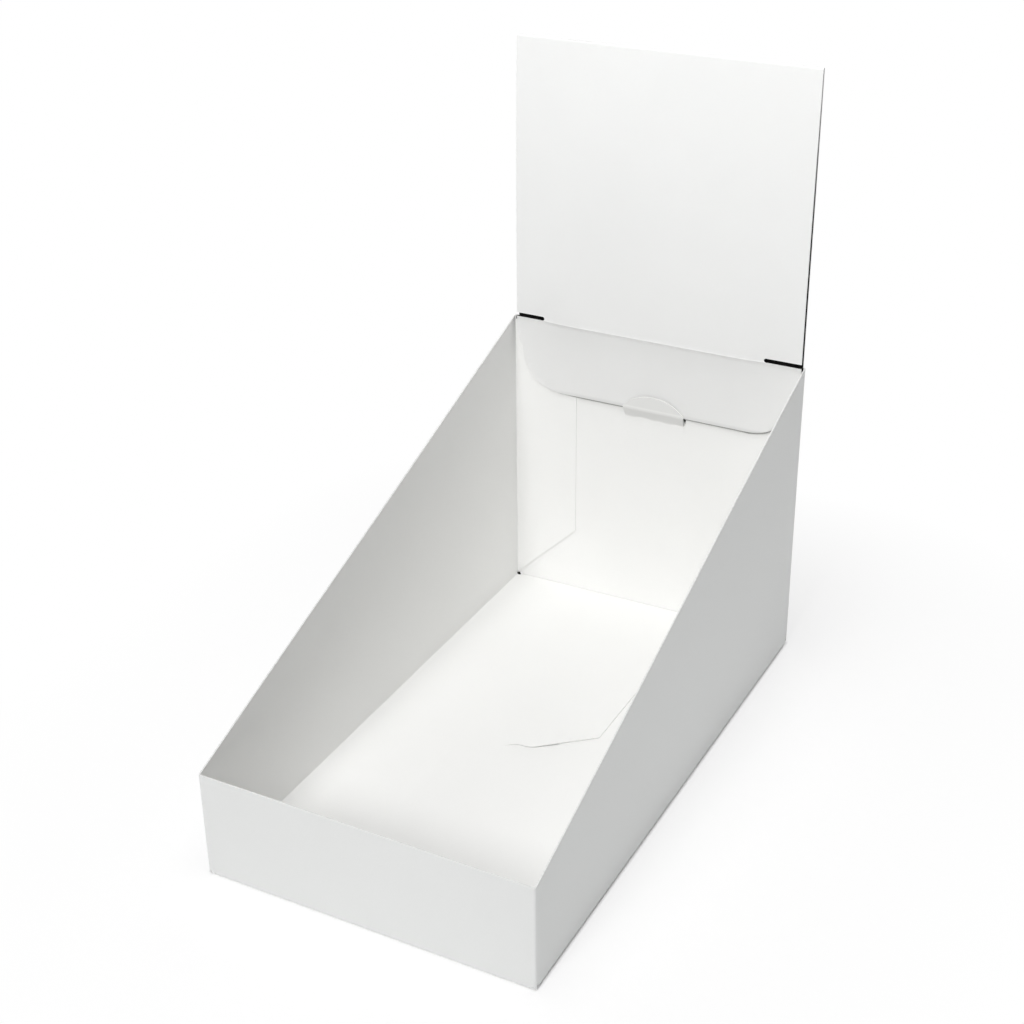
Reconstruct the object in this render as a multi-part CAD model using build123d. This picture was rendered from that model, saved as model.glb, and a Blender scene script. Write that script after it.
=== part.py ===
from build123d import *
import math
import os

# A counter display box, die-cut from one sheet of white solid board and folded up. Sizes are in
# millimetres. The origin is the middle of the footprint, +X goes across the box, the front lip
# faces -Y and +Z is up.

# Overall size
width = 150.0
depth = 272.0
front_height = 49.0
rear_height = 147.5
total_height = 284.5

# Board and folds
board = 0.6
fold_radius = 0.4       # inside radius of a fold
lay_gap = 0.1           # air between layers that only lie on each other, filled where they are glued
hand_gap = 0.3          # room that the die leaves between an edge and the wall beside it

# Glue flap, which hangs from the left wall and is glued inside the back wall
glue_flap_width = 34.0
glue_flap_lift = 2.6    # how high its slanted lower edge starts at the corner
glue_flap_slant = 44.0
glue_flap_taper = 12.0

# Header: back panel, top fold, front panel
header_middle = 0.6     # how far it sits right of the box's middle
header_width = 146.4    # at the crease
header_top_width = 145.6
header_top_gap = 0.25   # air between the panels just under the top fold
header_foot_gap = 1.9   # air between the panels at the crease
header_room = 8.0       # depth, from the rear face, that holds the header, tuck flap and tongue
header_spring = 1.6     # degrees by which the front panel springs open at the top fold
crease_rise = 0.5       # from the walls' upper edge up to the crease
left_slit_length = 15.1
right_slit_length = 18.0
slit_height = 1.9
slit_rise = 0.1         # from the crease up to the slits

# Tuck flap, which goes on from the front panel's crease down inside the back wall
tuck_height = 37.4
tuck_width = 140.6
tuck_shoulder_drop = 9.5    # from the crease down to where its sides begin to slant in
tuck_neck_drop = 15.6   # from the crease down to where it has its own width
tuck_corner_radius = 21.3
tuck_stand_off = 0.7    # air between the back wall and the flap's lower edge
crease_bead = 0.8       # diameter of the bead that the crease raises

# Half-moon tongue, cut in the back wall and laid over the tuck flap's lower edge
tongue_middle = 0.8     # how far it sits right of the box's middle
tongue_width = 32.0
tongue_hinge_width = 30.6
tongue_side_share = 0.45    # share of its height that its sides take, below the arc
tongue_hinge_drop = 4.9     # from the tuck flap's lower edge down to the hinge
tongue_cover = 8.5      # how far it reaches up over the tuck flap
tongue_lean = 1.0       # how far its tip stands off the tuck flap
tongue_bend_drop = 0.3  # from the tuck flap's lower edge down to the tongue's bend
tongue_bend_radius = 1.2
cut_width = 0.3         # width of a knife cut

# Crash-lock bottom: two lapped flaps from the side walls, two glued flaps under them
lock_middle = -2.0      # where along the depth the lapped flaps hook together
hook_reach = 28.0       # how far the upper half of a lapped flap passes the middle
under_reach = 14.0      # how far the lower half of a lapped flap stops short of the middle
hook_slope = 40.0       # degrees between the hook's slanted edge and the front lip
hook_nose_radius = 9.0
hook_nose_level = 0.3   # level stretch between the two nose arcs
hook_corner_radius = 3.0
hook_gap = 0.5          # open slit where the two lapped flaps meet
glued_flap_reach = 72.0
glued_flap_slant = 68.0
glue_pad_margin = 4.0
score_width = 0.8
score_depth = 0.15

# Relief cuts at the four bottom corners
rear_relief_height = 2.2
rear_relief_length = 5.0
front_relief_height = 0.8
front_relief_length = 1.0
relief_depth = 3.0      # how far a relief cut reaches in from the side wall's face

half_width = width / 2
half_depth = depth / 2
mid_x = half_width - board / 2
mid_y = half_depth - board / 2
mid_radius = fold_radius + board / 2
corner_zone = board + fold_radius
beyond = 2 * board      # how far a cutting shape passes the board that it cuts
header_zone = half_depth - header_room
hook_slant = math.radians(hook_slope)
nose_x = hook_nose_radius * math.tan(hook_slant / 2) + hook_nose_level / 2

# Lapped flaps lie on the glued flaps, so their folds sit one layer higher. A fold's section starts
# a little way up the wall.
lapped_level = board + lay_gap
glued_foot_top = 2 * board + fold_radius
lapped_foot_top = lapped_level + glued_foot_top
flap_end = half_depth - 2 * board - hand_gap
lapped_fold_end = half_depth - board - corner_zone - cut_width
glued_side = half_width - corner_zone - cut_width

# Middle of the tuck flap as (Y, Z), at the crease and at its lower edge
crease = Vector(mid_y - board - header_foot_gap, rear_height + crease_rise)
tuck_foot = Vector(mid_y - board - tuck_stand_off, crease.Y - tuck_height)
tongue_hinge_height = tuck_foot.Y - tongue_hinge_drop


def section(line):
    """Section of a board whose middle follows the line."""
    return trace(line, line_width=board)


def folded(*points):
    """Section of a board folded at each inner point."""
    return section(FilletPolyline(*points, radius=mid_radius))


def outline(*points):
    return make_face(Polyline(*points, close=True))


def along_x(sketch, start, end):
    """A shape drawn as Y and Z, drawn out along X."""
    return extrude(Plane.YZ.offset(start) * sketch, amount=end - start)


def along_y(sketch, start, end):
    """A shape drawn as X and Z, drawn out along Y."""
    return extrude(Plane.XZ.offset(-end) * sketch, amount=end - start)


def along_z(sketch, start, end):
    """A shape drawn as X and Y, drawn out along Z."""
    return extrude(Plane.XY.offset(start) * sketch, amount=end - start)


def block(x_range, y_range, z_range):
    return along_x(outline(*corner_points(y_range, z_range)), *x_range)


def corner_points(first_range, second_range):
    """The four corners of a rectangle, in order around it."""
    first_start, first_end = first_range
    second_start, second_end = second_range
    return [
        (first_start, second_start),
        (first_end, second_start),
        (first_end, second_end),
        (first_start, second_end),
    ]


def mirrored_pair(shape):
    """The shape and its mirror image on the other side of the box."""
    return shape + mirror(shape, Plane.YZ)


def half_turned(shape):
    """The shape turned half round the box's upright axis."""
    return shape.rotate(Axis.Z, 180)


def glue_flap():
    """Left wall's rear end with the flap that is glued inside the back wall."""
    flap_y = mid_y - board
    flap_end_x = -half_width + glue_flap_width
    wall_face_x = -half_width + board
    run = flap_end_x - wall_face_x
    plan = folded((-mid_x, 0), (-mid_x, flap_y), (flap_end_x, flap_y))
    rise = run * math.tan(math.radians(glue_flap_slant))
    drop = run * math.tan(math.radians(glue_flap_taper))
    lower_waste = outline(
        (wall_face_x, 0),
        (flap_end_x + beyond, 0),
        (flap_end_x + beyond, glue_flap_lift + rise),
        (flap_end_x, glue_flap_lift + rise),
        (wall_face_x, glue_flap_lift),
    )
    upper_waste = outline(
        (wall_face_x, rear_height),
        (flap_end_x, rear_height - drop),
        (flap_end_x + beyond, rear_height - drop),
        (flap_end_x + beyond, rear_height),
    )
    flap = along_z(plan, 0, rear_height)
    return flap - along_y(lower_waste + upper_waste, flap_y - beyond, flap_y + board / 2)


def walls():
    """Left, front, right and back walls, cut to the side walls' slope."""
    plan = folded(
        (-mid_x, 0),
        (-mid_x, -mid_y),
        (mid_x, -mid_y),
        (mid_x, mid_y),
        (-half_width + hand_gap, mid_y),
    )
    side_view = outline(
        (-half_depth, 0),
        (half_depth, 0),
        (half_depth, rear_height),
        (half_depth - beyond, rear_height),
        (-half_depth + board, front_height),
        (-half_depth, front_height),
    )
    ring = along_z(plan, 0, rear_height) + glue_flap()
    return ring & along_x(side_view, -half_width, half_width)


def foot_waste():
    """The strips at the walls' feet whose place the bottom folds take."""
    side_foot = block(
        (-half_width - beyond, -half_width + beyond),
        (-half_depth + corner_zone, half_depth - corner_zone - board),
        (-beyond, lapped_foot_top),
    )
    front_foot = block(
        (-half_width + corner_zone, half_width - corner_zone),
        (-half_depth - beyond, -half_depth + beyond),
        (-beyond, glued_foot_top),
    )
    back_foot = block(
        (-half_width + corner_zone, half_width - corner_zone),
        (mid_y - board / 2, half_depth + beyond),
        (-beyond, glued_foot_top),
    )
    return mirrored_pair(side_foot) + front_foot + back_foot


def hook_point(x):
    """Point on the hook's slanted edge, measured from the middle of the lock."""
    return Vector(x, (x - nose_x) * math.tan(hook_slant))


def lapped_flap_plan(lock_y):
    """The left lapped flap from above: hook half at the rear, lower half at the front."""
    off_line = Vector(-math.sin(hook_slant), math.cos(hook_slant)) * hook_gap / 2
    lock = Vector(0, lock_y) + off_line
    nose = hook_point(nose_x)
    hook_tip = lock + hook_point(hook_reach)
    under_tip = lock - hook_point(under_reach)
    rear_end = Vector(hook_tip.X, flap_end)
    front_end = Vector(under_tip.X, -flap_end)
    free_edge = FilletPolyline(
        rear_end,
        hook_tip,
        lock + nose,
        lock - nose,
        under_tip,
        front_end,
        radius=[hook_corner_radius, hook_nose_radius, hook_nose_radius, hook_corner_radius],
    )
    wall_side = Polyline(
        front_end,
        (-half_width + relief_depth, -flap_end),
        (-half_width, -lapped_fold_end),
        (-half_width, lapped_fold_end),
        (-half_width + relief_depth, flap_end),
        rear_end,
    )
    return make_face(free_edge + wall_side)


def lapped_flap(lock_y):
    """The left lapped flap, level in its lower half and tilted up over the other in its hook half."""
    fold_z = lapped_level + board / 2
    reach = hook_reach + hook_gap
    tilt = (board + lay_gap) / (under_reach + mid_x)
    rise = tilt * (reach + mid_x)
    level = folded((-mid_x, lapped_foot_top), (-mid_x, fold_z), (reach, fold_z))
    tilted = folded((-mid_x, lapped_foot_top), (-mid_x, fold_z), (reach, fold_z + rise))
    change = hook_point(under_reach).Y
    level_end = lock_y - change
    tilted_start = lock_y + change
    change_over = loft(
        [Plane.XZ.offset(-level_end) * level, Plane.XZ.offset(-tilted_start) * tilted], ruled=True
    )
    sheet = (
        along_y(level, -flap_end, level_end)
        + change_over
        + along_y(tilted, tilted_start, flap_end)
    )
    return sheet & along_z(lapped_flap_plan(lock_y), 0, lapped_foot_top + board)


def glued_flap_plan():
    """The front glued flap from above, with its tab towards the left wall."""
    reach_y = -half_depth + glued_flap_reach
    tab_x = -half_width + board + relief_depth
    slant_run = glued_flap_reach / math.tan(math.radians(glued_flap_slant))
    return outline(
        (-glued_side, -half_depth),
        (glued_side, -half_depth),
        (glued_side - slant_run, reach_y),
        (tab_x, reach_y),
        (tab_x, -half_depth + relief_depth),
    )


def glued_flap_score():
    """The score line across which the glued flap's tab turns when the box lies flat."""
    start = Vector(-half_width, -half_depth)
    end = start + Vector(1, 1) * glued_flap_reach
    return trace(Line(start, end), line_width=score_width)


def glued_flap():
    """The front wall's bottom flap, which the box stands on."""
    fold_z = board / 2
    strip = folded(
        (-mid_y, glued_foot_top), (-mid_y, fold_z), (-half_depth + glued_flap_reach, fold_z)
    )
    sheet = along_x(strip, -half_width, half_width)
    flap = sheet & along_z(glued_flap_plan(), -beyond, glued_foot_top + beyond)
    return flap - along_z(glued_flap_score(), 0, score_depth)


def glue_pad():
    """Glue between the front glued flap's tab and the left lapped flap."""
    low_x = -half_width + board + relief_depth + glue_pad_margin
    high_x = -under_reach - glue_pad_margin
    high_y = -half_depth + glued_flap_reach - glue_pad_margin
    off_score = half_width - half_depth + glue_pad_margin * math.sqrt(2)
    tab = outline((low_x, low_x + off_score), (high_y - off_score, high_y), (low_x, high_y))
    under_flap = outline(*corner_points((-half_width, high_x), (-half_depth, high_y)))
    overlap = board / 4
    return along_z(tab & under_flap, board - overlap, lapped_level + overlap)


def header_outline():
    """The header and the tuck flap from the front."""
    right_side = [
        (header_top_width / 2, total_height),
        (header_width / 2, crease.Y),
        (header_width / 2, crease.Y - tuck_shoulder_drop),
        (tuck_width / 2, crease.Y - tuck_neck_drop),
        (tuck_width / 2, tuck_foot.Y),
    ]
    left_side = [(-x, z) for x, z in reversed(right_side)]
    sharp = [0] * (len(right_side) - 1)
    rounded = [tuck_corner_radius] * 2
    points = right_side + left_side
    return make_face(FilletPolyline(*points, radius=sharp + rounded + sharp, close=True))


def header_and_tuck():
    """Back panel, top fold, bowed front panel, crease and tuck flap, slits included."""
    turn_radius = (header_top_gap + board) / 2
    back_up = Line((mid_y, rear_height), (mid_y, total_height - board / 2 - turn_radius))
    turn = JernArc(back_up @ 1, (0, 1), turn_radius, 180 - header_spring)
    front_down = TangentArc(turn @ 1, crease, tangent=turn % 1)
    tuck_down = Line(crease, tuck_foot)
    bead = Pos(crease.X, crease.Y) * Circle(crease_bead / 2)
    side_view = section(back_up + turn + front_down) + section(tuck_down) + bead
    sheet = along_x(side_view, -header_width / 2, header_width / 2)
    front_view = along_y(header_outline(), header_zone, half_depth)
    slit_z = crease.Y + slit_rise + slit_height / 2
    left_slit = Pos(-header_width / 2, slit_z) * SlotOverall(2 * left_slit_length, slit_height)
    right_slit = Pos(header_width / 2, slit_z) * SlotOverall(2 * right_slit_length, slit_height)
    slits = along_y(left_slit + right_slit, header_zone, mid_y - board / 2)
    return Pos(header_middle, 0, 0) * ((sheet & front_view) - slits)


def tongue_line():
    """Middle of the tongue: out from its hinge, then up along the tuck flap's front."""
    up_flap = (crease - tuck_foot).normalized()
    forward = Vector(-up_flap.Y, up_flap.X)
    bend = tuck_foot + forward * (board + lay_gap) - up_flap * tongue_bend_drop
    tip = bend + up_flap * (tongue_cover + tongue_bend_drop) + forward * tongue_lean
    hinge = Vector(mid_y, tongue_hinge_height)
    root = hinge - Vector(0, beyond)
    return FilletPolyline(root, hinge, bend, tip, radius=[fold_radius, tongue_bend_radius])


def half_moon(height):
    """The tongue's outline on its hinge, as high as given."""
    half_hinge = tongue_hinge_width / 2
    half_wide = tongue_width / 2
    side_top = tongue_side_share * height
    arc = ThreePointArc((half_wide, side_top), (0, height), (-half_wide, side_top))
    foot = Polyline(
        (-half_wide, side_top), (-half_hinge, 0), (half_hinge, 0), (half_wide, side_top)
    )
    return Pos(tongue_middle, tongue_hinge_height) * make_face(arc + foot)


def tongue():
    line = tongue_line()
    left = tongue_middle - tongue_width / 2
    right = tongue_middle + tongue_width / 2
    root = block(
        (tongue_middle - tongue_hinge_width / 2, tongue_middle + tongue_hinge_width / 2),
        (mid_y - board, half_depth),
        (tongue_hinge_height - beyond, tongue_hinge_height),
    )
    tongue_height = (line @ 1).Y - tongue_hinge_height
    shape = along_y(half_moon(tongue_height), header_zone, half_depth + beyond)
    return along_x(section(line), left, right) & (shape + root)


def tongue_window():
    """The hole that the tongue leaves in the back wall."""
    free_length = tongue_line().length - beyond
    return along_y(half_moon(free_length + cut_width), mid_y - board / 2, half_depth + beyond)


def corner_relief(height, length, wall_y, inward):
    """Cut across a side wall's lower corner and the flap end beside it."""
    waste = outline(
        (wall_y + inward * length, -beyond),
        (wall_y + inward * length, 0),
        (wall_y, height),
        (wall_y - inward * beyond, height),
        (wall_y - inward * beyond, -beyond),
    )
    return mirrored_pair(along_x(waste, -half_width - beyond, -half_width + relief_depth))


def board_box():
    shell = walls() - foot_waste() - tongue_window()
    left_flap = lapped_flap(lock_middle)
    right_flap = half_turned(lapped_flap(-lock_middle))
    glued_half = glued_flap() + glue_pad()
    bottom = left_flap + right_flap + glued_half + half_turned(glued_half)
    rear_relief = corner_relief(rear_relief_height, rear_relief_length, half_depth, -1)
    front_relief = corner_relief(front_relief_height, front_relief_length, -half_depth, 1)
    return shell + bottom + header_and_tuck() + tongue() - rear_relief - front_relief


os.makedirs("parts", exist_ok=True)
box = board_box()
box.label = "board_box"
export_step(box, "parts/board_box.step")
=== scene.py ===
import math

import bmesh
import bpy
from mathutils import Matrix, Vector, noise
from mathutils.bvhtree import BVHTree
from mathutils.geometry import area_tri, normal


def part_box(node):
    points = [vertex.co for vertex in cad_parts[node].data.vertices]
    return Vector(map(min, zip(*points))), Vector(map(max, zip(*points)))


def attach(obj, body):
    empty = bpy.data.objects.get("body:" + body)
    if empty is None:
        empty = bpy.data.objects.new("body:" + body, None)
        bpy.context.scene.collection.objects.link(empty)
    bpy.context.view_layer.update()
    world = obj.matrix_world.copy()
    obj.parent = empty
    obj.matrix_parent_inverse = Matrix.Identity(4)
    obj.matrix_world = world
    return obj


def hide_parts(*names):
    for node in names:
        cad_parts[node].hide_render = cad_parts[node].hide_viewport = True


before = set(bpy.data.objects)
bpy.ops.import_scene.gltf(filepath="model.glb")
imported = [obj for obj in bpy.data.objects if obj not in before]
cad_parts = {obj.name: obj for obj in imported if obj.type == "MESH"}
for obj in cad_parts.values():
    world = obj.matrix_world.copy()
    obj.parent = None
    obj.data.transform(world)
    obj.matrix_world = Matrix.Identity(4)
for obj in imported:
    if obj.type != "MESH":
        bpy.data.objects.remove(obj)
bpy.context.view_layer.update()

# A display box folded from one sheet of white board, standing on a pale floor in soft studio
# light. Lengths are in metres, and the frame's +Z is up.

MM = 0.001
NODE = "board_box"
high_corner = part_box(NODE)[1]
half_width = high_corner.x
half_depth = high_corner.y
total_height = high_corner.z

# Sizes of the sheet that the frame doesn't give
fold_zone = 1.0 * MM            # how far a fold reaches in from the outside
front_height = 49.0 * MM
crease_z = 148.0 * MM
slit_top = 150.0 * MM
slit_end_left = -57.5 * MM      # where the left slit ends
slit_end_right = 55.8 * MM      # where the right slit ends
floor_top = 3.0 * MM            # over the bottom flaps

# Making the surface mesh
weld_distance = 0.001 * MM
flat_angle = math.radians(0.05)
grid_step = 6.0 * MM
guard_width = 1.2 * MM          # soft strip beside each fold
fold_angle = math.radians(40)   # sharper edges than this are cut edges
smooth_angle = math.radians(38)
thickest_layers = 1.7 * MM      # glued layers and beads are thinner than this
inner_shares = (0.45, 0.32, 0.23)   # where in a triangle its side of the board is tested
sliver_length = weld_distance / 4

# Slow bend of the panels, as folded board has
wall_bow = 0.35 * MM
wall_wave_length = 150.0 * MM
wall_bow_rise = 30.0 * MM       # this far above the bottom flaps the walls have their full bow
header_bow = 0.45 * MM
wave_gain = 1.6                 # brings the noise to about -1 to 1
left_seed, right_seed, front_seed, rear_seed, header_seed = 3.1, 7.7, 11.3, 17.9, 23.5

# Surfaces painted dark as shade, as they only show as the dark of a gap: inside the header, and
# the slits' cut edges
header_inside_z = crease_z - 2 * guard_width
slit_side = 55.0 * MM           # the slits lie further out than this
slit_inset = (3.6 * MM, 1.8 * MM)   # in from the rear, where the header and its back panel end

# Gaps that the camera looks through: the corners, in mm, of a thin web of painted shade across
# each
tongue_gap = (
    (16.1, 135.6, 105.9),
    (17.7, 135.5, 106.2),
    (17.75, 135.5, 110.4),
    (16.4, 133.9, 110.4),
)
corner_gap = ((-74.7, 133.7, 0.9), (-73.0, 133.7, 0.9), (-73.0, 135.9, 0.9), (-74.7, 135.4, 0.9))
corner_web = (
    (-74.38, 134.2, 0.9),
    (-73.3, 135.38, 0.9),
    (-73.3, 135.38, 2.1),
    (-74.38, 134.2, 2.3),
)
web_thickness = 0.12 * MM

# The tuck flap's crease stands forward between the slits
crease_push = 1.2 * MM
crease_below = 14.0 * MM        # how far down the flap curves back
crease_above = 50.0 * MM        # how far up the front panel does
crease_ends = 20.0 * MM         # how far from each slit's end it reaches its full push
slit_spread = 5.0 * MM          # how much of that lies beside the slit
front_panel_zone = (12.0 * MM, 1.35 * MM)   # panel and flap lie this far in from the rear
crease_side_margin = 1.5 * MM   # this near to the box's sides nothing is pushed

# The glue flap is pressed into the back wall, and the bottom flaps run up to it
glue_flap_zone = (1.25 * MM, 1.1 * MM)  # its inner face lies this far in from the rear
glue_flap_side = -40.0 * MM     # and left of this
glue_press = 0.25 * MM
glue_press_start = 28.0 * MM    # from this far from the left wall the flap is pressed
glue_press_full = 33.0 * MM     # and from here fully
flap_end_zone = (1.7 * MM, 1.3 * MM)    # the bottom flaps' ends lie this far in from the rear
flap_end_top = 3.0 * MM
flap_end_push = 0.7 * MM

# The tuck flap's cut edge is crushed: its rear corner hangs lower than its front one. The edge
# also gets painted shade.
tuck_plane = (133.2 * MM, 134.4 * MM)   # y of the flap's middle at the crease and at its foot
tuck_foot_z = 110.6 * MM
tuck_middle = 0.6 * MM
tuck_corner_x = 49.0 * MM       # from the flap's middle to its rounded corners' centres
tuck_corner_radius = 21.3 * MM
tuck_edge_reach = 0.5 * MM      # the flap's board lies within this of its middle
tuck_edge_slack = 0.1 * MM      # and its cut edge within this of its outline
tuck_burr = 0.8 * MM
tuck_burr_start = (-62.0 * MM, -38.0 * MM)  # x where the burr and its painted shade start, and where they are full

# The lapped flaps' hooks lie pressed on the flap under them along their ends
hook_end_x = 28.0 * MM
hook_end_zone = 0.7 * MM
hook_end_start = 28.0 * 16.0 * MM * MM  # x times y of a hook's end is more than this
hook_end_press = 0.35 * MM

# The tongue's hinge in the back wall, folded by hand and a little ragged
tongue_zone = (Vector((-18.0, 128.0, 100.0)) * MM, Vector((19.6, 137.0, 122.0)) * MM)
hinge_z = 105.7 * MM
hinge_height = 1.2 * MM
hinge_waver = 0.9 * MM
hinge_wave_length = 7.0 * MM
hinge_seed = 5.3
hinge_step = 1.6 * MM
bent_tongue_y = 135.3 * MM      # the tongue stands in front of this, and the wall behind it
lens_front = -0.35 * MM         # the tongue in front of the tuck flap is beyond this of its middle
foot_top = tuck_foot_z - 0.1 * MM   # the tongue's foot, which gets painted shade, is below this
lens_shade_and_highlight_paint = -0.55              # painted shade on the tongue's lens above the foot, negative because its cut edge gets a painted highlight instead
window_edge_zone = (Vector((15.8, 135.35, 105.85)) * MM, Vector((17.1, 136.2, 113.5)) * MM)
window_widening = 0.9 * MM

rubbed_angle = math.radians(12)     # board that turns by this at an edge is fully rubbed


def welded_sheet(node):
    """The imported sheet's surface with its corners welded and its flat faces made whole."""
    sheet = bmesh.new()
    sheet.from_mesh(node.data)
    bmesh.ops.remove_doubles(sheet, verts=sheet.verts[:], dist=weld_distance)
    bmesh.ops.dissolve_limit(
        sheet, angle_limit=flat_angle, verts=sheet.verts[:], edges=sheet.edges[:]
    )
    return sheet


def cut_places(start, end, extra):
    """Evenly spaced places from start to end, and the extra ones."""
    count = math.ceil((end - start) / grid_step)
    spaced = [start + (end - start) * i / count for i in range(1, count)]
    kept = [p for p in spaced if all(abs(p - e) > guard_width / 2 for e in extra)]
    return sorted(kept + list(extra))


def cut_grid(sheet):
    """Cuts the sheet's faces along planes, so that its panels can bend."""
    side = half_width - fold_zone - guard_width
    end = half_depth - fold_zone - guard_width
    levels = (
        floor_top,
        front_height - guard_width,
        header_inside_z,
        slit_top + guard_width,
        total_height - guard_width,
    )
    for direction, spots in (
        (Vector((1, 0, 0)), cut_places(-half_width, half_width, (-side, side))),
        (Vector((0, 1, 0)), cut_places(-half_depth, half_depth, (-end, end))),
        (Vector((0, 0, 1)), cut_places(0, total_height, levels)),
    ):
        for spot in spots:
            bmesh.ops.bisect_plane(
                sheet,
                geom=sheet.verts[:] + sheet.edges[:] + sheet.faces[:],
                dist=weld_distance,
                plane_co=direction * spot,
                plane_no=direction,
            )


def smooth_neighbours(face):
    """Faces beside this one on the same side of the board."""
    for edge in face.edges:
        if edge.is_manifold and edge.calc_face_angle(math.pi) < fold_angle:
            yield from (f for f in edge.link_faces if f is not face)


def outside_faces(sheet):
    """The coated side: all that joins the back wall's outer face round the folds."""
    seed = max(sheet.faces, key=lambda f: (round(f.normal.y), f.calc_center_median().y))
    found = {seed}
    waiting = [seed]
    while waiting:
        for face in smooth_neighbours(waiting.pop()):
            if face not in found:
                found.add(face)
                waiting.append(face)
    return found


def inner_points(sheet):
    """A point well inside each face's largest triangle, off its middle."""
    found = {}
    for loops in sheet.calc_loop_triangles():
        a, b, c = (loop.vert.co for loop in loops)
        size = area_tri(a, b, c)
        if size >= found.get(loops[0].face, (0.0, None))[0]:
            near_a, near_b, near_c = inner_shares
            found[loops[0].face] = (size, near_a * a + near_b * b + near_c * c)
    return {face: point for face, (size, point) in found.items()}


def name_sides(sheet):
    """Each face's finish: 0 coated outside, 1 plain inside, 2 cut edge, 3 painted shade of a gap.
    """
    tree = BVHTree.FromBMesh(sheet)
    outside = outside_faces(sheet)
    for face, middle in inner_points(sheet).items():
        depth = tree.ray_cast(middle - face.normal * weld_distance, -face.normal)[3]
        if depth is None or depth > thickest_layers:
            face.material_index = 2
        else:
            face.material_index = 0 if face in outside else 1
        if gets_painted_gap_shade(face, middle):
            face.material_index = 3


def gets_painted_gap_shade(face, middle):
    """Whether a face, named by its side so far, shows only as the dark of a gap and so gets
    painted shade.
    """
    inset = half_depth - middle.y
    far, near = slit_inset
    if middle.z < header_inside_z or abs(middle.x) > half_width - fold_zone or inset > far:
        return False
    if face.material_index == 2:
        return crease_z < middle.z < slit_top and inset > near and abs(middle.x) > slit_side
    return face.material_index == 1


def painted_shade_webs(sheet):
    """A thin slab of painted shade across each gap that the camera looks through."""
    for corners in (tongue_gap, corner_gap, corner_web):
        flat = [Vector(corner) * MM for corner in corners]
        through = normal(flat) * web_thickness / 2
        near = [sheet.verts.new(corner + through) for corner in flat]
        far = [sheet.verts.new(corner - through) for corner in flat]
        sides = [(near[i - 1], near[i], far[i], far[i - 1]) for i in range(len(flat))]
        faces = [sheet.faces.new(outline) for outline in (near, far, *sides)]
        for face in faces:
            face.material_index = 3
        bmesh.ops.recalc_face_normals(sheet, faces=faces)


def ease(value):
    """Smooth step from 0 to 1."""
    value = min(max(value, 0.0), 1.0)
    return value * value * (3 - 2 * value)


def slow_wave(a, b, seed):
    """Smooth noise over a panel, about -1 to 1."""
    return noise.noise(Vector((a / wall_wave_length, b / wall_wave_length, seed))) * wave_gain


def bend(point):
    """Where a point of the flat-walled sheet lies on the real one."""
    moved = point.copy()
    above_floor = ease((point.z - floor_top) / wall_bow_rise)
    side = ease(0.5 + point.x / half_width)
    left_wave = slow_wave(point.y, point.z, left_seed)
    right_wave = slow_wave(point.y, point.z, right_seed)
    moved.x += wall_bow * above_floor * (left_wave * (1 - side) + right_wave * side)
    rear = ease(0.5 + point.y / half_depth)
    front_wave = slow_wave(point.x, point.z, front_seed)
    rear_wave = slow_wave(point.x, point.z, rear_seed)
    moved.y += wall_bow * above_floor * (front_wave * (1 - rear) + rear_wave * rear)
    if point.z > crease_z:
        rise = (point.z - crease_z) / (total_height - crease_z)
        moved.y += header_bow * math.sin(math.pi * rise) * slow_wave(point.x, 0, header_seed)
    moved.y -= crease_push * crease_share(point)
    moved.y += pressed(point)
    moved.z += hinge_shift(point) - hook_press(point)
    moved.x += window_shift(point)
    return moved + burr(point)


def hook_press(point):
    """How far the lapped flaps' hook ends are pressed down onto the flap under them."""
    off_end = abs(abs(point.x) - hook_end_x)
    if point.z < flap_end_top and off_end < hook_end_zone and point.x * point.y > hook_end_start:
        return min(hook_end_press, point.z)
    return 0.0


def within(point, zone):
    """Whether a point lies between a zone's lowest and highest corners."""
    low, high = zone
    return all(low[i] < point[i] < high[i] for i in range(3))


def window_shift(point):
    """How far the right edge of the hole that the tongue leaves stands away from the tongue."""
    return window_widening if within(point, window_edge_zone) else 0.0


def behind_tuck_middle(point):
    """How far a point lies behind the tuck flap's middle."""
    top_y, foot_y = tuck_plane
    height = crease_z - tuck_foot_z
    return point.y - top_y - (foot_y - top_y) * (crease_z - point.z) / height


def cut_edge_way(point):
    """The way out of the tuck flap at a point of its lower cut edge, shorter to the left."""
    centre_z = tuck_foot_z + tuck_corner_radius
    if point.z > centre_z or abs(behind_tuck_middle(point)) > tuck_edge_reach:
        return Vector()
    across = point.x - tuck_middle
    over = max(abs(across) - tuck_corner_x, 0.0) * math.copysign(1, across)
    outward = Vector((over, 0, point.z - centre_z))
    if abs(outward.length - tuck_corner_radius) > tuck_edge_slack:
        return Vector()
    start, full = tuck_burr_start
    return outward.normalized() * ease((point.x - start) / (full - start))


def burr(point):
    """How far the rear corner of the tuck flap's cut edge is pushed out of its outline."""
    return cut_edge_way(point) * tuck_burr if behind_tuck_middle(point) > 0 else Vector()


def shade_and_highlight_paint_at(point):
    """How much painted shade the board gets at a point: the tuck flap's cut edge, and the tongue;
    negative where the faces get it and the cut edge a painted highlight instead.
    """
    if point.y < bent_tongue_y and within(point, tongue_zone):
        if behind_tuck_middle(point) < lens_front and point.z > tuck_foot_z:
            return lens_shade_and_highlight_paint
        if point.z < foot_top:
            return 1.0
    return cut_edge_way(point).length


def pressed(point):
    """How much nearer to the back wall the glue flap or a bottom flap's rear end lies."""
    inset = half_depth - point.y
    if glue_flap_zone[1] < inset < glue_flap_zone[0] and point.x < glue_flap_side:
        along = point.x + half_width - glue_press_start
        return glue_press * ease(along / (glue_press_full - glue_press_start))
    if flap_end_zone[1] < inset < flap_end_zone[0] and point.z < flap_end_top:
        return flap_end_push
    return 0.0


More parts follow.
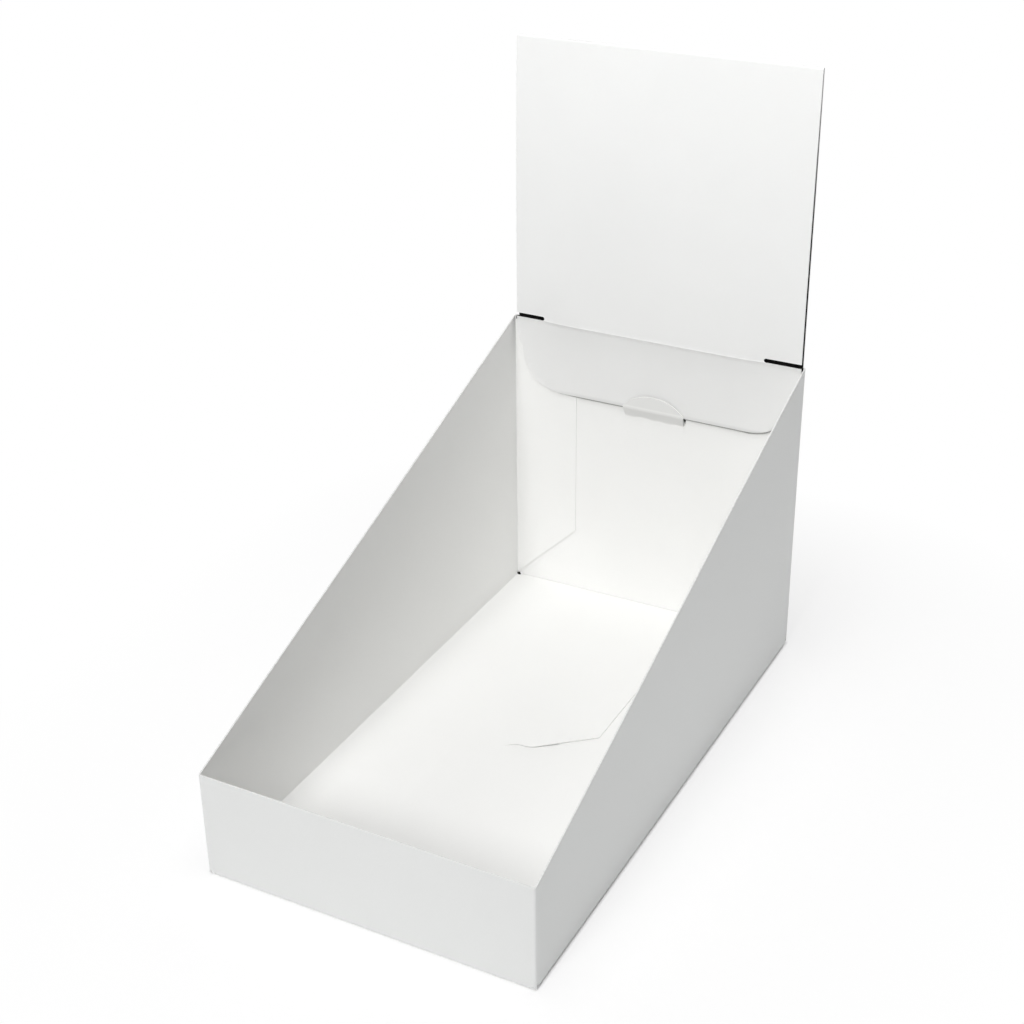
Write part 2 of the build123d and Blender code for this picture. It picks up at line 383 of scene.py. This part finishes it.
def crease_share(point):
    """How much of the crease's push a point of the front panel or the tuck flap gets."""
    inset = half_depth - point.y
    far, near = front_panel_zone
    if not near < inset < far or abs(point.x) > half_width - crease_side_margin:
        return 0.0
    rise = point.z - crease_z
    level = 1 - (rise / crease_above if rise > 0 else -rise / crease_below)
    between = min(point.x - slit_end_left, slit_end_right - point.x)
    return max(level, 0.0) ** 2 * ease((between + slit_spread) / crease_ends)


def hinge_shift(point):
    """The ragged line of the tongue's hinge."""
    if not within(point, tongue_zone):
        return 0.0
    level = max(1 - abs(point.z - hinge_z) / hinge_height, 0.0)
    return hinge_waver * level * noise.noise(Vector((point.x / hinge_wave_length, 0, hinge_seed)))


def cut_tongue(sheet):
    """Finer cuts across the tongue, so that its hinge can waver."""
    low, high = tongue_zone
    start = low.x
    while start < high.x:
        near = [f for f in sheet.faces if within(f.calc_center_median(), tongue_zone)]
        edges = {e for f in near for e in f.edges}
        verts = {v for f in near for v in f.verts}
        bmesh.ops.bisect_plane(
            sheet,
            geom=list(verts) + list(edges) + near,
            dist=weld_distance,
            plane_co=Vector((start, 0, 0)),
            plane_no=Vector((1, 0, 0)),
        )
        start += hinge_step


def wear(sheet):
    """How rubbed the board is at each point, and how much painted shade or painted highlight it
    gets.
    """
    layer = sheet.verts.layers.float.new("fold")
    for vert in sheet.verts:
        turns = [
            e.calc_face_angle(0.0)
            for e in vert.link_edges
            if e.is_manifold and e.calc_face_angle(0.0) < fold_angle
        ]
        vert[layer] = min(max(turns, default=0.0) / rubbed_angle, 1.0)
    layer = sheet.verts.layers.float.new("shade_and_highlight_paint")
    for vert in sheet.verts:
        vert[layer] = shade_and_highlight_paint_at(vert.co)


def mark_sharp(sheet):
    """Smooth shading over the folds, sharp at the cut edges."""
    sheet.normal_update()
    for face in sheet.faces:
        face.smooth = True
    for edge in sheet.edges:
        edge.smooth = edge.is_manifold and edge.calc_face_angle() < smooth_angle


def board_piece():
    """The sheet as it is seen, in the node's place."""
    sheet = welded_sheet(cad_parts[NODE])
    cut_grid(sheet)
    cut_tongue(sheet)
    name_sides(sheet)
    wear(sheet)
    for vert in sheet.verts:
        vert.co = bend(vert.co)
    bmesh.ops.dissolve_degenerate(sheet, dist=sliver_length, edges=sheet.edges[:])
    painted_shade_webs(sheet)
    mark_sharp(sheet)
    mesh = bpy.data.meshes.new("folded_sheet")
    sheet.to_mesh(mesh)
    sheet.free()
    for material in (coated_board(), plain_board(), cut_board(), painted_gap_shade()):
        mesh.materials.append(material)
    piece = bpy.data.objects.new("folded_sheet", mesh)
    bpy.context.scene.collection.objects.link(piece)
    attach(piece, "root")
    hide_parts(NODE)


class Shading:
    """A material's nodes, added and joined by short calls."""

    def __init__(self, name):
        self.material = bpy.data.materials.new(name)
        self.material.use_nodes = True
        self.nodes = self.material.node_tree.nodes
        self.links = self.material.node_tree.links
        self.shader = self.nodes["Principled BSDF"]
        self.place = self.add("ShaderNodeTexCoord").outputs["Object"]

    def add(self, kind, **values):
        node = self.nodes.new(kind)
        for name, value in values.items():
            setattr(node, name, value)
        return node

    def join(self, source, target):
        self.links.new(source, target)

    def stretched(self, scale):
        """Object coordinates scaled by their own factor each way."""
        mapping = self.add("ShaderNodeMapping")
        mapping.inputs["Scale"].default_value = scale
        self.join(self.place, mapping.inputs["Vector"])
        return mapping.outputs["Vector"]

    def noise(self, scale, detail=2.0, roughness=0.5, place=None):
        node = self.add("ShaderNodeTexNoise")
        node.inputs["Scale"].default_value = scale
        node.inputs["Detail"].default_value = detail
        node.inputs["Roughness"].default_value = roughness
        self.join(place or self.place, node.inputs["Vector"])
        return node.outputs["Fac"]

    def ranged(self, value, low, high, start=0.0, end=1.0):
        """The value's stretch from start to end, spread over low to high."""
        node = self.add("ShaderNodeMapRange")
        for name, number in (
            ("From Min", start),
            ("From Max", end),
            ("To Min", low),
            ("To Max", high),
        ):
            node.inputs[name].default_value = number
        self.join(value, node.inputs["Value"])
        return node.outputs["Result"]

    def attribute(self, name):
        """How much a point has of what the mesh's attribute tells."""
        return self.add("ShaderNodeAttribute", attribute_name=name).outputs["Fac"]

    def mixed(self, factor, first, second):
        """Two colours, or a socket and a colour, mixed by a factor."""
        node = self.add("ShaderNodeMix", data_type="RGBA")
        factor_input, first_input, second_input = (node.inputs[i] for i in (0, 6, 7))
        for socket, value in (
            (factor_input, factor),
            (first_input, first),
            (second_input, second),
        ):
            if isinstance(value, bpy.types.NodeSocket):
                self.join(value, socket)
            else:
                socket.default_value = value
        return node.outputs[2]

    def multiplied(self, first, second):
        node = self.add("ShaderNodeMath", operation="MULTIPLY")
        self.join(first, node.inputs[0])
        if isinstance(second, bpy.types.NodeSocket):
            self.join(second, node.inputs[1])
        else:
            node.inputs[1].default_value = second
        return node.outputs[0]

    def bump(self, height, distance, strength, before=None):
        node = self.add("ShaderNodeBump")
        node.inputs["Strength"].default_value = strength
        node.inputs["Distance"].default_value = distance
        self.join(height, node.inputs["Height"])
        if before is not None:
            self.join(before, node.inputs["Normal"])
        return node.outputs["Normal"]


def rgba(red, green, blue):
    return (red, green, blue, 1.0)


def dimmed(tone, share):
    """A share of a tone, as a colour."""
    return rgba(*(c * share for c in tone))


coated_tone = (0.821, 0.822, 0.815)
coated_worn = (0.87, 0.87, 0.87)
plain_tone = (0.884, 0.884, 0.872)
plain_worn = (0.84, 0.84, 0.83)
cut_tones = ((0.70, 0.70, 0.69), (0.83, 0.83, 0.82))
# Painted shade on the tuck flap's and the tongue's feet, and a painted highlight on the tongue's
# lens edge
painted_shade_cut_tone = (0.36, 0.36, 0.35)
painted_highlight_cut_tone = (0.93, 0.93, 0.91)
# Painted shade: near black for the dark of narrow gaps, paler towards the header's top
painted_gap_shade_tones = ((0.008, 0.008, 0.008), (0.016, 0.016, 0.015))
painted_gap_shade_top_tone = (0.6, 0.6, 0.59)
painted_gap_shade_paler = (215.0 * MM, total_height)  # over these heights the painted shade in the header's gap turns to its paler top tone
mottle_tone = 0.985         # share of its tone that board keeps where it is mottled
fibre_tone = 0.97           # where its fibres show
painted_shade_share = 0.84           # and where it gets painted shade


def board_finish(name, tone, worn, gloss, tooth):
    """White board: faint mottle, fine fibre tooth, folds a little rubbed, and painted shade on the
    tuck flap's edge and the tongue.
    """
    s = Shading(name)
    mottle = s.ranged(s.noise(22, 3), 0.0, 1.0, 0.3, 0.7)
    fibre = s.ranged(s.noise(1400, 3, 0.6), 0.0, 1.0, 0.35, 0.65)
    colour = s.mixed(mottle, dimmed(tone, mottle_tone), rgba(*tone))
    colour = s.mixed(s.multiplied(fibre, 0.35), colour, dimmed(tone, fibre_tone))
    patches = s.ranged(s.noise(320, 4, 0.7), 0.2, 0.9, 0.4, 0.65)
    rubbed = s.multiplied(s.attribute("fold"), patches)
    colour = s.mixed(rubbed, colour, rgba(*worn))
    # Painted shade on the tuck flap's edge and the tongue
    shade_and_highlight_paint = s.add("ShaderNodeMath", operation="ABSOLUTE")
    s.join(s.attribute("shade_and_highlight_paint"), shade_and_highlight_paint.inputs[0])
    colour = s.mixed(shade_and_highlight_paint.outputs[0], colour, dimmed(tone, painted_shade_share))
    s.join(colour, s.shader.inputs["Base Color"])
    s.join(s.ranged(mottle, gloss - 0.04, gloss + 0.06), s.shader.inputs["Roughness"])
    s.shader.inputs["Specular IOR Level"].default_value = 0.35
    wide = s.bump(s.noise(60, 2), 0.05 * MM, 0.6)
    fine = s.bump(s.noise(1800, 3, 0.6), tooth, 0.5, wide)
    s.join(fine, s.shader.inputs["Normal"])
    return s.material


def coated_board():
    return board_finish("coated_board", coated_tone, coated_worn, 0.42, 0.006 * MM)


def plain_board():
    return board_finish("plain_board", plain_tone, plain_worn, 0.6, 0.012 * MM)


def cut_board():
    """The board's cut edge: pressed fibre layers, greyer than its faces, with painted shade at the
    tuck flap's foot and the tongue's foot, and a painted highlight along the tongue's lens.
    """
    s = Shading("cut_board")
    strands = s.noise(900, 4, 0.7, s.stretched((1.0, 1.0, 5.0)))
    dark, pale = cut_tones
    colour = s.mixed(s.ranged(strands, 0.0, 1.0, 0.35, 0.65), rgba(*dark), rgba(*pale))
    # Painted shade where the attribute is positive, and a painted highlight on the tongue's lens
    # edge where it is negative
    shade_and_highlight_paint = s.attribute("shade_and_highlight_paint")
    painted_highlight = s.ranged(shade_and_highlight_paint, 1.0, 0.0, lens_shade_and_highlight_paint, 0.0)
    colour = s.mixed(painted_highlight, colour, rgba(*painted_highlight_cut_tone))
    colour = s.mixed(shade_and_highlight_paint, colour, rgba(*painted_shade_cut_tone))
    s.join(colour, s.shader.inputs["Base Color"])
    s.shader.inputs["Roughness"].default_value = 0.85
    s.shader.inputs["Specular IOR Level"].default_value = 0.2
    s.join(s.bump(strands, 0.03 * MM, 0.7), s.shader.inputs["Normal"])
    return s.material


def painted_gap_shade():
    """Painted shade: the dark that a narrow gap shows, paler towards the header's top."""
    s = Shading("painted_gap_shade")
    speck = s.ranged(s.noise(500, 3), 0.0, 1.0, 0.4, 0.6)
    darkest, dark = painted_gap_shade_tones
    colour = s.mixed(speck, rgba(*darkest), rgba(*dark))
    height = s.add("ShaderNodeSeparateXYZ")
    s.join(s.place, height.inputs[0])
    paler = s.ranged(height.outputs["Z"], 0.0, 1.0, *painted_gap_shade_paler)
    s.join(s.mixed(paler, colour, rgba(*painted_gap_shade_top_tone)), s.shader.inputs["Base Color"])
    s.shader.inputs["Roughness"].default_value = 0.95
    s.shader.inputs["Specular IOR Level"].default_value = 0.05
    return s.material


# Camera, at the photograph's viewpoint
camera_place = Vector((0.3012, -0.5748, 0.4659))
camera_azimuth = math.radians(27.524)
camera_elevation = math.radians(27.568)
camera_roll = math.radians(-0.371)
camera_lens = 61.57
camera_shift = (-0.0148, -0.0148)


def towards(azimuth, elevation):
    """A unit vector away from the box: azimuth 0 is its front, and 90 degrees its right side."""
    return Vector((
        math.sin(azimuth) * math.cos(elevation),
        -math.cos(azimuth) * math.cos(elevation),
        math.sin(elevation),
    ))


def camera():
    back = towards(camera_azimuth, camera_elevation)
    right = Vector((math.cos(camera_azimuth), math.sin(camera_azimuth), 0))
    up = back.cross(right)
    turned_right = right * math.cos(camera_roll) + up * math.sin(camera_roll)
    turned_up = up * math.cos(camera_roll) - right * math.sin(camera_roll)
    data = bpy.data.cameras.new("camera")
    data.sensor_width = 36.0
    data.lens = camera_lens
    data.shift_x, data.shift_y = camera_shift
    eye = bpy.data.objects.new("camera", data)
    eye.matrix_world = (
        Matrix.Translation(camera_place)
        @ Matrix((turned_right, turned_up, back)).transposed().to_4x4()
    )
    bpy.context.scene.collection.objects.link(eye)
    bpy.context.scene.camera = eye


def panel_lamp(name, place, target, width, height, power):
    """A flat lamp at a place, turned towards a target."""
    data = bpy.data.lights.new(name, "AREA")
    data.shape = "RECTANGLE"
    data.size = width
    data.size_y = height
    data.energy = power
    lamp = bpy.data.objects.new(name, data)
    facing = (place - target).to_track_quat("Z", "Y").to_matrix().to_4x4()
    lamp.matrix_world = Matrix.Translation(place) @ facing
    lamp.visible_camera = False
    bpy.context.scene.collection.objects.link(lamp)


def soft_lamp(name, azimuth, elevation, distance, size, power):
    """A square soft box that looks at the box's middle, from angles in degrees."""
    target = Vector((0, 0, total_height / 3))
    way = towards(math.radians(azimuth), math.radians(elevation))
    panel_lamp(name, target + way * distance, target, size, size, power)


room_light = 0.10       # the pale room's own light


def studio():
    """Soft boxes in a pale room, and the white that the camera sees behind the box."""
    soft_lamp("front", 0, 35, 1.5, 0.4, 10.5)
    soft_lamp("over", 0, 75, 0.6, 0.4, 2.1)
    soft_lamp("rear", 180, 35, 1.5, 1.0, 5.0)
    soft_lamp("left", -95, 30, 1.5, 1.0, 2.0)
    card_place, card_target = Vector((0.55, 0.18, 0.05)), Vector((0.075, 0.05, 0.05))
    panel_lamp("card", card_place, card_target, 0.7, 0.08, 0.63)
    world = bpy.data.worlds.new("room")
    bpy.context.scene.world = world
    world.use_nodes = True
    nodes, links = world.node_tree.nodes, world.node_tree.links
    nodes.clear()
    room = nodes.new("ShaderNodeBackground")
    room.inputs["Color"].default_value = rgba(1, 1, 1)
    room.inputs["Strength"].default_value = room_light
    white = nodes.new("ShaderNodeBackground")
    white.inputs["Color"].default_value = rgba(1, 1, 1)
    white.inputs["Strength"].default_value = 1.0
    rays = nodes.new("ShaderNodeLightPath")
    seen = nodes.new("ShaderNodeMath")
    seen.operation = "MAXIMUM"
    links.new(rays.outputs["Is Camera Ray"], seen.inputs[0])
    links.new(rays.outputs["Is Glossy Ray"], seen.inputs[1])
    mix = nodes.new("ShaderNodeMixShader")
    links.new(seen.outputs[0], mix.inputs[0])
    links.new(room.outputs[0], mix.inputs[1])
    links.new(white.outputs[0], mix.inputs[2])
    output = nodes.new("ShaderNodeOutputWorld")
    links.new(mix.outputs[0], output.inputs["Surface"])


floor_radius = 6.0
floor_tone = (0.91, 0.925, 0.922)
shadow_share = 0.3          # how much of the floor's shading the camera sees beside the box
shadow_reach = 0.16         # this far from the box it has faded to plain white
under_box_share = 0.87      # how much of it the camera sees under the box
under_box_edge = 1.5 * MM   # over which this share fades


def studio_floor():
    """A pale floor: real shading near the box, plain white further away."""
    bm = bmesh.new()
    bmesh.ops.create_circle(bm, cap_ends=True, radius=floor_radius, segments=96)
    mesh = bpy.data.meshes.new("floor")
    bm.to_mesh(mesh)
    bm.free()
    floor = bpy.data.objects.new("floor", mesh)
    bpy.context.scene.collection.objects.link(floor)
    s = Shading("pale_floor")
    s.shader.inputs["Base Color"].default_value = rgba(*floor_tone)
    s.shader.inputs["Roughness"].default_value = 1.0
    s.shader.inputs["Specular IOR Level"].default_value = 0.0
    seen_shade = s.add("ShaderNodeBsdfDiffuse")
    seen_shade.inputs["Color"].default_value = rgba(1.0, 1.0, 1.0)
    plain = s.add("ShaderNodeEmission")
    plain.inputs["Color"].default_value = rgba(1, 1, 1)
    outside = s.add("ShaderNodeVectorMath", operation="ABSOLUTE")
    s.join(s.place, outside.inputs[0])
    beyond = s.add("ShaderNodeVectorMath", operation="SUBTRACT")
    s.join(outside.outputs[0], beyond.inputs[0])
    beyond.inputs[1].default_value = (half_width, half_depth, 0)
    clear = s.add("ShaderNodeVectorMath", operation="MAXIMUM")
    s.join(beyond.outputs[0], clear.inputs[0])
    gap = s.add("ShaderNodeVectorMath", operation="LENGTH")
    s.join(clear.outputs[0], gap.inputs[0])
    faded = s.ranged(gap.outputs["Value"], shadow_share, 0.0, 0.0, shadow_reach)
    under = s.ranged(gap.outputs["Value"], under_box_share, 0.0, 0.0, under_box_edge)
    near = s.add("ShaderNodeMath", operation="MAXIMUM")
    s.join(faded, near.inputs[0])
    s.join(under, near.inputs[1])
    seen = s.add("ShaderNodeMixShader")
    s.join(near.outputs[0], seen.inputs[0])
    s.join(plain.outputs[0], seen.inputs[1])
    s.join(seen_shade.outputs[0], seen.inputs[2])
    rays = s.add("ShaderNodeLightPath")
    whole = s.add("ShaderNodeMixShader")
    s.join(rays.outputs["Is Camera Ray"], whole.inputs[0])
    s.join(s.shader.outputs[0], whole.inputs[1])
    s.join(seen.outputs[0], whole.inputs[2])
    s.join(whole.outputs[0], s.nodes["Material Output"].inputs["Surface"])
    mesh.materials.append(s.material)


camera()
studio()
studio_floor()
board_piece()

bpy.context.scene.view_settings.view_transform = "Standard"
